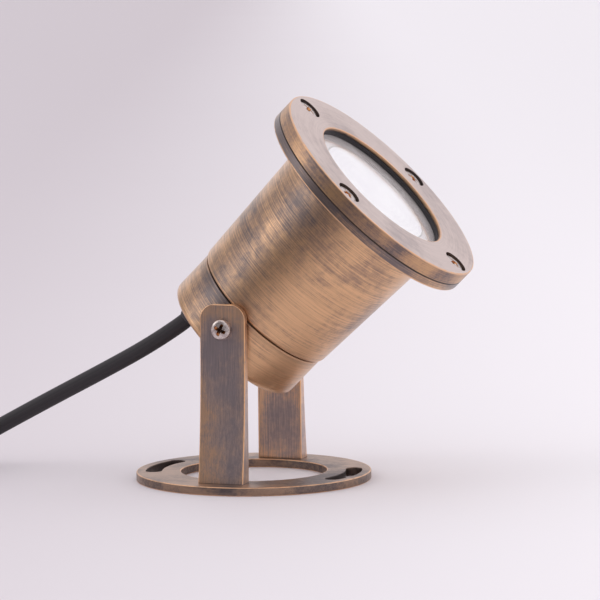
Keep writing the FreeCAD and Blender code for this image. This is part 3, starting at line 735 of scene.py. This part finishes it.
def raised(loops, heights):
    # rows of points (a, b), each row at its own height
    level = np.broadcast_to(np.reshape(heights, (-1, 1, 1)), loops.shape[:2] + (1,))
    return np.concatenate([loops, level], -1)


def openedRing(circle, halfAngle, halfWidth, count, between=24):
    # both edges of all the openings in one round trip; between two openings they run together
    inner, outer = openingEdges(circle, halfAngle, halfWidth)
    tip = math.atan2(inner[-1, 1], inner[-1, 0])
    gap = np.linspace(tip, fullTurn / count - tip, between + 2)[1:-1]
    plain = np.linalg.norm(inner[-1]) * onCircle(gap)
    return [np.concatenate([spun(np.concatenate([edge, plain]), fullTurn * k / count) for k in range(count)])
            for edge in (inner, outer)]


def ringSheet(height, edges, boreRadius, outerRadius, support=0.15):
    # flat bands from the bore to the openings and on to the rim: straight lines between their edges
    inner, outer = edges
    out = (inner + outer) / np.linalg.norm(inner + outer, axis=1)[:, None]
    bands = []
    for start, end, wear in ((out * boreRadius, inner, (1.0, 0, 0, 0, 0)),
                             (outer, out * outerRadius, (0, 0, 0, 0, 1.0))):
        length = np.linalg.norm(end - start, axis=1).mean()
        steps = np.array([0, support / length, 0.5, 1 - support / length, 1])
        flat = start + (end - start) * steps[:, None, None]
        bands.append(patch(raised(flat, height), np.reshape(wear, (-1, 1))))
    return bands, out


def roundWall(out, radii, heights, wear):
    # wall round a whole ring, with one point for each point of its flat bands
    return patch(raised(out * np.reshape(radii, (-1, 1, 1)), heights), wear[:, None])


def openingWall(circle, halfAngle, halfWidths, heights, turn, wear):
    # wall of one opening: its closed outline at each height
    edges = [openingEdges(circle, halfAngle, halfWidth) for halfWidth in halfWidths]
    loops = np.array([np.concatenate([inner, outer[::-1]]) for inner, outer in edges])
    return patch(raised(spun(loops, turn), heights), wear[:, None])


def cutAway(piece, solids, finish):
    # boolean cuts by solids of stacked rings, applied at once so that the piece keeps one plain mesh
    cutters = []
    for rings in solids:
        grid = patch(capped(rings, rings[0].mean(0), rings[-1].mean(0)))
        cutters.append(makePiece("cutter", [grid], None, finish))
        cut = piece.modifiers.new("cut", "BOOLEAN")
        cut.operation, cut.solver, cut.object = "DIFFERENCE", "EXACT", cutters[-1]
    bpy.context.view_layer.update()
    graph = bpy.context.evaluated_depsgraph_get()
    mesh = bpy.data.meshes.new_from_object(piece.evaluated_get(graph), preserve_all_data_layers=True,
                                           depsgraph=graph)
    piece.modifiers.clear()
    piece.data = mesh
    mesh.set_sharp_from_angle(angle=math.radians(35))
    for cutter in cutters:
        bpy.data.objects.remove(cutter)


def quarter(edge, steps=4):
    # a quarter round: how far in from the wall and down from the face each row lies
    t = np.linspace(0, math.pi / 2, steps + 1)
    return edge * (1 - np.sin(t)), edge * (1 - np.cos(t))


baseRing = {"radius": 47.5, "bore": 29.5, "thickness": 3.5, "slotCircle": 40.5, "slotHalfAngle": 19.4,
            "slotWidth": 6.5, "edge": 0.4, "wallShade": -0.4, "slotWearAndShade": (-0.75, -0.6, 0.6),
            "legMiddle": 35.78, "countersink": [(-0.1, 3.95), (0.0, 3.85), (1.85, 2.0), (3.6, 2.0)]}


def makeBaseRing():
    edge, thick, circle = baseRing["edge"], baseRing["thickness"], baseRing["slotCircle"]
    halfAngle, half = math.radians(baseRing["slotHalfAngle"]), baseRing["slotWidth"] / 2
    edges = openedRing(circle, halfAngle, half + edge, 2)
    pieces = []
    for height in (thick, 0.0):
        bands, out = ringSheet(height, edges, baseRing["bore"] + edge, baseRing["radius"] - edge)
        pieces += bands
    inset, down = quarter(edge)
    insets = np.concatenate([inset, inset[::-1]])
    heights = np.concatenate([thick - down, down[::-1]])
    # edges rubbed; painted shade along the middle of the rim's and bore's walls, and down inside the slots,
    # whose top and bottom edges are rubbed
    wornAndShaded = np.ones(len(insets))
    wornAndShaded[len(down) - 1:len(down) + 1] = baseRing["wallShade"]
    slotWearAndShade = np.interp(np.abs(np.linspace(-1, 1, len(insets))), [0.1, 0.6, 1], baseRing["slotWearAndShade"])
    for radii in (baseRing["radius"] - insets, baseRing["bore"] + insets):
        pieces.append(roundWall(out, radii, heights, wornAndShaded))
    for turn in (0, math.pi):
        pieces.append(openingWall(circle, halfAngle, half + insets, heights, turn, slotWearAndShade))
    ring = makePiece("baseRing", pieces, "base", "ring_brass", weld=4e-6)
    # countersunk holes from below, (height, radius) about a vertical line through each leg
    sink = turnedRows(*np.transpose(baseRing["countersink"]), 64)[..., [1, 2, 0]]
    cutAway(ring, [sink + (0, side * baseRing["legMiddle"], 0) for side in (-1, 1)], "ring_brass")
    standFor(ring, "base_ring")


makeBaseRing()
print("base ring ready")


# Legs: level sections stacked from the foot to the rounded top

leg = {"halfWidth": 9.4, "foot": 3.5, "top": 74.3, "corner": 6.0, "inner": 32.08, "topThickness": 3.3,
       "footThickness": 7.4, "straightFrom": 60.0, "edge": 0.4, "support": 0.12, "border": 4.0,
       "footShade": -0.8}


def makeLeg(name, side, node, finish):
    edge, corner = leg["edge"], leg["corner"]
    climb = np.linspace(leg["foot"], leg["top"] - corner, 26)
    climb = np.insert(climb, 1, climb[0] + 0.35)
    angle = np.linspace(0, math.pi / 2, 15)[1:]
    height = np.concatenate([climb, leg["top"] - corner + corner * np.sin(angle)])
    halfWidth = leg["halfWidth"] - np.concatenate([0 * climb, corner * (1 - np.cos(angle))])
    # outer face: upright to straightFrom, then the arc radius - sqrt(radius^2 - drop^2) out to the foot
    flare, drop = leg["footThickness"] - leg["topThickness"], leg["straightFrom"] - leg["foot"]
    radius = (drop ** 2 + flare ** 2) / (2 * flare)
    below = np.clip(leg["straightFrom"] - height, 0, drop)
    thickness = leg["topThickness"] + radius - np.sqrt(radius ** 2 - below ** 2)
    # the last rows round the top edge over: they are drawn in by edge (1 - sqrt(1 - over^2)), not quite to 1
    over = np.clip((height - (leg["top"] - edge)) / edge, 0, 1)
    drawnIn = edge * (1 - np.sqrt(1 - over ** 2 * 0.98))
    hx, hy = (halfWidth - drawnIn)[:, None], (thickness / 2 - drawnIn)[:, None]
    # each corner: a quarter round with a support point before and after it, and one more point on the wide
    # face, where the browner border ends; wear from the one side of the corner to the other
    marks = [0.3 if side < 0 else 0.1, 0.5, 1, 1, 1, 0.5, 0.24, 0]
    rows, wear = [], []
    for index, (sx, sy) in enumerate(((1, 1), (-1, 1), (-1, -1), (1, -1))):
        turn = np.linspace(0, math.pi / 2, 5) + index * math.pi / 2
        arc = edge * onCircle(turn)
        beyond = leg["support"] * onCircle(turn + math.pi / 2)
        rounding = np.concatenate([arc[:1] - beyond[:1], arc, arc[-1:] + beyond[-1:]])
        centre = np.stack([sx * (hx - edge), sy * (hy - edge)], -1)
        inwards = np.minimum(leg["border"], 0.8 * (hx - edge))
        borderEnd = np.stack([sx * (hx - edge - inwards), sy * hy], -1)
        order = -1 if index % 2 else 1
        rows += [centre + rounding, borderEnd][::order]
        wear += marks[::order]
    loops = np.concatenate(rows, 1)
    wornAndShaded = np.broadcast_to(wear, loops.shape[:2]).astype(float)
    wornAndShaded[height > leg["top"] - 0.8 * edge] = 1
    # painted shade along the foot, where the leg stands on the ring
    wornAndShaded[0] = leg["footShade"]
    middle = leg["inner"] + thickness / 2
    loops[..., 1] = side * (loops[..., 1] + middle[:, None])
    ends = [(0, side * middle[k], height[k]) for k in (0, -1)]
    grid = patch(capped(raised(loops, height), *ends), capped(wornAndShaded, 0, 0))
    standFor(makePiece(name, [grid], "base", finish, sharp=50), node)


makeLeg("nearLeg", -1, "near_leg", "dark_brass")
makeLeg("farLeg", 1, "far_leg", "far_brass")
print("legs ready")


# Screws with cross recesses

def crossRecess(y, z, reach, halfWidth, depth, slope):
    # depth of a cross recess: two crossed slots that rise towards their ends, with softened sides
    def arm(along, over):
        inside = np.clip((halfWidth - np.abs(over)) / (0.35 * halfWidth), 0, 1)
        rise = np.clip((reach - np.abs(along)) / slope, 0, 1)
        return inside * inside * (3 - 2 * inside) * rise ** 0.7

    return depth * np.maximum(arm(y, z), arm(z, y))


def screwHead(look, turn=0.0):
    # dome h sqrt(1 - (r / spread)^2) over a straight side, with the cross pressed into it
    radius, edge, shank = look["diameter"] / 2, look["edge"], look["shank"]
    rings = np.concatenate([np.linspace(0, radius - edge, 44), radius - edge * (1 - np.sin(
        np.linspace(0, math.pi / 2, 6)[1:]))])
    y, z = np.moveaxis(turnedRows(rings, rings, 96)[..., 1:], -1, 0)
    crown = look["crown"] * np.sqrt(np.clip(1 - (rings / (radius * 1.08)) ** 2, 0, 1))
    fall = np.where(rings > radius - edge, edge - np.sqrt(np.clip(
        edge ** 2 - (rings - radius + edge) ** 2, 0, None)), 0)
    spinY = y * math.cos(turn) + z * math.sin(turn)
    spinZ = z * math.cos(turn) - y * math.sin(turn)
    dip = crossRecess(spinY, spinZ, look["reach"], look["arm"], look["recess"], look["slope"])
    shoulder = look["height"] - look["crown"]
    cap = np.stack([shoulder + (crown - fall)[:, None] - dip, y, z], -1)
    lower = turnedRows([shoulder - edge, 0, 0, -look["length"], -look["length"]],
                       [radius, radius, shank, shank, 0], 96)
    # rubbed round the rim; below 0 painted shade down into the cross recess
    wear = np.clip((rings - radius + 1.1 * edge) / edge, 0, 1)[:, None] - dip / look["recess"]
    # painted shade under the head and down the shank, and on the head's side where sideShade is below 0
    below = np.full(lower.shape[:2], -0.9)
    below[:2] = look["sideShade"]
    return np.concatenate([cap, lower]), np.concatenate([wear, below])


pivotScrew = {"diameter": 8.0, "height": 3.1, "crown": 1.5, "edge": 0.5, "reach": 2.5, "arm": 0.7,
              "recess": 1.9, "slope": 1.6, "shank": 2.0, "length": 10.2, "under": 35.46, "sideShade": 0.0}


def makeScrews(name, node, look, turns, place):
    # one screw for each turn of a cross, in degrees, each put in its place in the head
    patches = []
    for index, turn in enumerate(turns):
        points, wear = screwHead(look, math.radians(turn))
        patches.append(patch(inHead(place(points + (look["under"], 0, 0), index)), wear))
    standFor(makePiece(name, patches, "head", "screw_steel", sharp=45), node)


def pivotPlace(points, index):
    return facing(points, (-1, 1)[index])


washer = {"inner": 2.1, "outer": 6.0, "seat": 30.0, "thickness": 2.0, "edge": 0.25}


def makeWashers():
    outline, wear = roundedCorners([(0, washer["inner"]), (0, washer["outer"], washer["edge"]),
                                    (washer["thickness"], washer["outer"], washer["edge"]),
                                    (washer["thickness"], washer["inner"])], 3, 0.3)
    points = turnedRows(outline[:, 0] + washer["seat"], outline[:, 1], 72)
    grids = [patch(inHead(facing(points, side)), wear[:, None], closeRows=True) for side in (-1, 1)]
    standFor(makePiece("pivotWashers", grids, "head", "aged_brass"), "pivot_washers")


makeScrews("pivotScrews", "pivot_screws", pivotScrew, (20, 65), pivotPlace)
makeWashers()


# Head shells. Stations run forward from the pivot

shell = {"rear": -11.6, "joint": 8.5, "capRadius": 30.9, "spigot": 28.15, "spigotLength": 7.0,
         "capBore": 25.0, "floor": -7.6, "barrelRear": 31.6, "barrelFront": 34.55, "bore": 28.2,
         "flangeBack": 69.0, "flangeFront": 72.5, "flange": 49.1, "groove": 0.9}
seatCut = {"radius": 6.08, "outside": 36.0, "turn": 0.03}
glandHole = {"radius": 5.0, "offset": 19.5, "outside": -13.0, "inside": -6.0}


def makeRearCap():
    s = shell
    # wear of each corner; below 0 a dark stain on the cap just behind the joint, and painted shade in the
    # groove and on the spigot
    corners = [(s["rear"], 0.0), (s["rear"], s["capRadius"], 2.4, 0.5), (3.0, s["capRadius"]),
               (s["joint"] - 1.5, s["capRadius"], 0, -0.4), (s["joint"] - 0.6, s["capRadius"], 0.25, -0.45),
               (s["joint"] - 0.45, s["capRadius"] - s["groove"], 0, -0.7),
               (s["joint"], s["capRadius"] - s["groove"], 0, -0.7), (s["joint"], s["spigot"], 0, -0.9),
               (s["joint"] + s["spigotLength"], s["spigot"], 0.4),
               (s["joint"] + s["spigotLength"], s["capBore"]), (s["floor"], s["capBore"], 1.0),
               (s["floor"], 0.0)]
    piece = turnedHeadPiece("rearCap", *roundedCorners(corners, 6, closed=False), "cap_brass")
    # flat seats for the washers, turned a little so that the cutter's corners miss the cap's, and the hole
    ends, radii = np.array([washer["seat"], seatCut["outside"]]), [seatCut["radius"]] * 2
    seats = [facing(turnedRows(side * ends, radii, 64, seatCut["turn"]), 1) for side in (-1, 1)]
    hole = turnedRows([glandHole["outside"], glandHole["inside"]], [glandHole["radius"]] * 2, 64)
    cutAway(piece, [inHead(rings) for rings in seats + [hole + (0, 0, glandHole["offset"])]], "cap_brass")
    standFor(piece, "rear_cap")


def makeBarrel():
    s = shell
    # wear of each corner; below 0 is painted shade: in the bore at the joint, under the flange, and at the
    # flange's front edge where the face ring sits
    corners = [(s["joint"], s["bore"], 0, -1), (s["joint"], s["barrelRear"], 1.1, 0.45),
               (s["flangeBack"], s["barrelFront"], 0.5, -0.3), (s["flangeBack"], s["flange"], 0.45),
               (s["flangeFront"], s["flange"], 0.2, -0.7), (s["flangeFront"], s["bore"])]
    piece = turnedHeadPiece("barrelShell", *roundedCorners(corners), "aged_brass")
    standFor(piece, "barrel")


face = {"front": 78.5, "lip": 77.0, "seat": 35.3, "aperture": 31.1, "screwCircle": 42.5, "counterbore": 5.1,
        "boreDepth": 3.5, "boreEdge": 0.12, "edge": 0.45}


def makeFaceRing():
    front, lip, back, flange = face["front"], face["lip"], shell["flangeFront"], shell["flange"]
    edge, aperture, bore, deep = face["edge"], face["aperture"], face["counterbore"], face["boreDepth"]
    openings = openedRing(face["screwCircle"], 0.0, bore + face["boreEdge"], 4)
    bands, out = ringSheet(front, openings, aperture + edge, flange - edge)
    # (station, radius) from the front's rim over the side and the back to the aperture
    inset, down = quarter(edge, 5)
    rim = np.column_stack([front - down, flange - inset])
    mouth = np.column_stack([front - down, aperture + inset])
    rest = [(front - edge - 0.12, flange), (back + 0.5, flange), (back + 0.3, flange),
            (back + 0.1, flange - 0.1), (back, flange - 0.35), (back, face["seat"]), (lip, face["seat"]),
            (lip, aperture + 0.1), (lip + 0.1, aperture), (lip + 0.5, aperture)]
    station, radius = np.concatenate([rim, rest, mouth[::-1]]).T
    # wear along it; below 0 is painted shade on the side's back edge, where it sits on the flange, and down
    # the aperture behind the lip
    wornAndShaded = np.concatenate([np.linspace(1, 0.7, len(rim)), [0, 0, -0.9, -0.9, -0.9, 0, 0, -0.8, -0.8, -0.5],
                           np.linspace(0.7, 1, len(mouth))])
    pieces = [roundWall(out, radius, station, wornAndShaded)] + bands
    # counterbores: (wider by, depth, wear and shade) from the front down and in to the middle; below 0 is
    # painted shade down their walls and over their floors
    grow, depth, wear = np.transpose([(face["boreEdge"], 0, 0), (0.03, 0.04, -0.3), (0, 0.14, -0.8),
                                      (0, deep, -0.9), (1e-4 - bore, deep, -0.9)])
    for index in range(4):
        pieces.append(openingWall(face["screwCircle"], 0.0, bore + grow, front - depth,
                                  index * fullTurn / 4, wear))
    for piece in pieces:
        piece["points"] = inHead(piece["points"][:, [2, 0, 1]])
    ring = makePiece("faceRing", pieces, "head", "face_brass", weld=4e-6)
    standFor(ring, "face_ring")


faceScrew = {"diameter": 9.2, "height": 3.0, "crown": 0.9, "edge": 0.4, "reach": 2.7, "arm": 0.85,
             "recess": 1.8, "slope": 1.5, "shank": 2.5, "length": 5.6, "under": 75.0, "sideShade": -0.9}


def facePlace(points, index):
    angle = index * fullTurn / 4
    return points + (0, face["screwCircle"] * math.cos(angle), face["screwCircle"] * math.sin(angle))


makeRearCap()
makeBarrel()
makeFaceRing()
makeScrews("faceScrews", "face_screws", faceScrew, (35, 10, 60, 80), facePlace)
print("head shells ready")


# Lamp front behind the glass: a shallow dome with moulded rings

lamp = {"back": 72.6, "radius": 24.7, "thickness": 0.5, "rings": 9, "ridge": 0.05}


def makeLampFront():
    # height thickness (1 - 0.5 (r / R)^2) + ridge cos(rings r), over a flat back
    radius = np.linspace(0, lamp["radius"], 90)
    share = radius / lamp["radius"]
    height = (lamp["thickness"] - lamp["ridge"]) * (1 - 0.5 * share ** 2) + lamp["ridge"] * np.cos(
        share * lamp["rings"] * fullTurn)
    outline = np.concatenate([np.column_stack([lamp["back"] + height, radius]),
                              [(lamp["back"], lamp["radius"]), (lamp["back"], 0)]])
    piece = turnedHeadPiece("lampFront", outline, 0, "lamp_white", 96)
    standFor(piece, "lamp_lens")


makeLampFront()


# Front glass with ground edges, a hair clear of the plate behind it, and the ribbed gasket before it

glass = {"back": 73.13, "front": 74.87, "radius": 34.95, "bevel": 0.35}
gasket = {"back": 74.9, "front": 77.0, "outer": 34.95, "inner": 31.02, "rib": 0.16, "ribs": 3}


def makeGlass():
    g = glass
    corners = [(g["back"], 0.0), (g["back"], g["radius"], g["bevel"]), (g["front"], g["radius"], g["bevel"]),
               (g["front"], 0.0)]
    piece = turnedHeadPiece("frontGlass", *roundedCorners(corners, 2, closed=False), "lens_glass", 128)
    standFor(piece, "lens_glass")


def makeGasket():
    # inner radius: inner + rib (1 - cos(ribs t)) over the gasket's thickness
    g = gasket
    t = np.linspace(0, 1, 25)
    bore = g["inner"] + g["rib"] * (1 - np.cos(t * g["ribs"] * fullTurn))
    outline = np.concatenate([np.column_stack([g["back"] + t * (g["front"] - g["back"]), bore]),
                              [(g["front"], g["outer"]), (g["back"], g["outer"])]])
    piece = turnedHeadPiece("glassGasket", outline, 0, "black_rubber", 128)
    standFor(piece, "lens_gasket")


makeGlass()
makeGasket()


# Cable gland: a six-sided collar and dome nut with chamfered corners, and a rubber nose

gland = {"acrossFlats": 13.0, "collarRear": -13.6, "nutRear": -17.1, "noseEnd": -20.1, "noseRadius": 4.3,
         "bore": 3.3, "thread": 5.0, "front": -7.0}


def hexRows(outline, columns=96):
    # (station, cap): radius of a hexagon, cut by a round chamfer: min(half across flats / cos(angle from the
    # flat), cap)
    station, cap = np.transpose(outline)
    fromFlat = (roundAngles(columns) + math.pi / 6) % (math.pi / 3) - math.pi / 6
    hexagon = gland["acrossFlats"] / 2 / np.cos(fromFlat)
    return turnedRows(station, np.minimum(hexagon, cap[:, None]), columns)


def glandPiece(name, outline, node, finish):
    points = inHead(hexRows(outline) + (0, 0, glandHole["offset"]))
    standFor(makePiece(name, [patch(points, closeRows=True)], "head", finish), node)


def makeGland():
    bore, thread, nose = gland["bore"], gland["thread"], gland["noseRadius"]
    collarRear, nutRear, noseEnd = gland["collarRear"], gland["nutRear"], gland["noseEnd"]
    corner, small = gland["acrossFlats"] / math.sqrt(3), gland["acrossFlats"] / 2 - 0.2
    collar = [(collarRear, bore), (collarRear, small + 0.4), (collarRear + 0.45, corner),
              (shell["rear"], corner), (shell["rear"], thread), (gland["front"], thread),
              (gland["front"], bore), (collarRear, bore)]
    nut = [(nutRear, nose), (nutRear, small - 0.3), (nutRear + 0.9, corner), (collarRear - 0.45, corner),
           (collarRear, small + 0.4), (collarRear, nose)]
    rubber = [(collarRear - 0.05, bore - 0.05), (collarRear - 0.05, nose), (nutRear, nose),
              (nutRear - 1.2, nose - 0.15), (noseEnd + 0.4, nose - 0.6), (noseEnd, nose - 0.9),
              (noseEnd, bore - 0.05)]
    glandPiece("glandCollar", collar, "gland_body", "aged_brass")
    glandPiece("glandNut", nut, "gland_nut", "aged_brass")
    glandPiece("glandNose", rubber, "gland_seal", "black_rubber")


makeGland()
print("gland ready")


# Floor, backdrop light and studio lamps

# floorLeft to floorRight is painted light, the floor brightening to the right; floorDim is the dark of a
# painted reflection
studio = {"floorSize": 30.0, "floorLeft": (0.66, 0.60, 0.645, 1), "floorRight": (0.93, 0.895, 0.94, 1),
          "floorDim": (0.16, 0.15, 0.16, 1), "halfSpan": 0.24, "backdrop": (0.93, 0.90, 0.94, 1),
          "light": 0.95, "front": (-0.38, -0.92, 0.08), "frontLight": 0.07, "left": (-1, 0.1, 0),
          "leftLight": 0.38, "aim": (0, 0, 0.08)}


def makeFloor():
    # pale sheet with painted light: its colour brightens from left to right as if more light fell on the
    # right;
    # in metal its front part is painted dark, a painted reflection of a dark room
    size = studio["floorSize"]
    mesh = bpy.data.meshes.new("floor")
    mesh.from_pydata([(-size, -size, 0), (size, -size, 0), (size, size, 0), (-size, size, 0)], [],
                     [(0, 1, 2, 3)])
    floor = newObject("floor", mesh)
    material, tree, shader = newMaterial("paleFloor", {"Roughness": 0.75, "Specular IOR Level": 0.2})
    place, turn = objectPlace(tree), (0, 0, math.radians(-shot["azimuth"]))
    turned = addNode(tree, "ShaderNodeMapping", {"Vector": place, "Rotation": turn}).outputs[0]
    right, back = addNode(tree, "ShaderNodeSeparateXYZ", {0: turned}).outputs[:2]
    across = mathNode(tree, "MULTIPLY_ADD", noise(tree, place, 2.0, 2.0), 0.02, right)
    colour = mixColours(tree, smoothStep(tree, across, -studio["halfSpan"], studio["halfSpan"]),
                        studio["floorLeft"], studio["floorRight"])
    mirrored = addNode(tree, "ShaderNodeLightPath").outputs["Is Glossy Ray"]
    away = smoothStep(tree, mathNode(tree, "MULTIPLY", back, -1.0), 0.12, 0.42)
    dimmed = mixColours(tree, mathNode(tree, "MULTIPLY", mirrored, away), colour, studio["floorDim"])
    tree.links.new(dimmed, shader.inputs["Base Color"])
    mesh.materials.append(material)


def dimmedSide(tree, way, towards, low, high, colour, light):
    # a colour that goes over to a share of the backdrop's where the view turns to one side
    turned = addNode(tree, "ShaderNodeVectorMath", {0: way, 1: towards}, operation="DOT_PRODUCT")
    dim = tuple(c * light for c in studio["backdrop"][:3]) + (1,)
    return mixColours(tree, smoothStep(tree, turned.outputs["Value"], low, high), colour, dim)


def makeWorld():
    # even light; the camera and glass see the pale backdrop, and metal mirrors it and the dark room in front
    world = bpy.data.worlds.new("studio")
    bpy.context.scene.world = world
    world.use_nodes = True
    tree = world.node_tree
    tree.nodes.clear()
    rays = addNode(tree, "ShaderNodeLightPath").outputs
    way = addNode(tree, "ShaderNodeTexCoord").outputs["Generated"]
    backdrop = studio["backdrop"]
    sides = dimmedSide(tree, way, studio["left"], 0.80, 0.95, backdrop, studio["leftLight"])
    room = dimmedSide(tree, way, studio["front"], 0.72, 0.95, sides, studio["frontLight"])
    colour = mixColours(tree, rays["Is Glossy Ray"], backdrop, room)
    shown = addNode(tree, "ShaderNodeBackground", {"Strength": 1.0, "Color": colour})
    light = addNode(tree, "ShaderNodeBackground", {"Color": (1, 0.985, 1, 1), "Strength": studio["light"]})
    seen = mathNode(tree, "MAXIMUM", rays["Is Camera Ray"], mathNode(
        tree, "MAXIMUM", rays["Is Transmission Ray"], rays["Is Glossy Ray"]))
    mixed = addNode(tree, "ShaderNodeMixShader", {0: seen, 1: light.outputs[0], 2: shown.outputs[0]})
    addNode(tree, "ShaderNodeOutputWorld", {0: mixed.outputs[0]})


def makeLamp(name, at, size, power):
    data = bpy.data.lights.new(name, "AREA")
    data.shape, data.size, data.size_y = "RECTANGLE", *size
    data.energy = power
    aim = Vector(studio["aim"]) - Vector(at)
    turn = aim.to_track_quat("-Z", "Y").to_matrix().to_4x4()
    newObject(name, data).matrix_world = Matrix.Translation(at) @ turn


makeFloor()
makeWorld()
makeLamp("rightBox", (1.5, 0.5, 1.1), (1.0, 1.0), 2.5)
makeLamp("leftBox", (-1.2, -0.72, 0.66), (0.7, 1.0), 3.0)
print("studio ready")
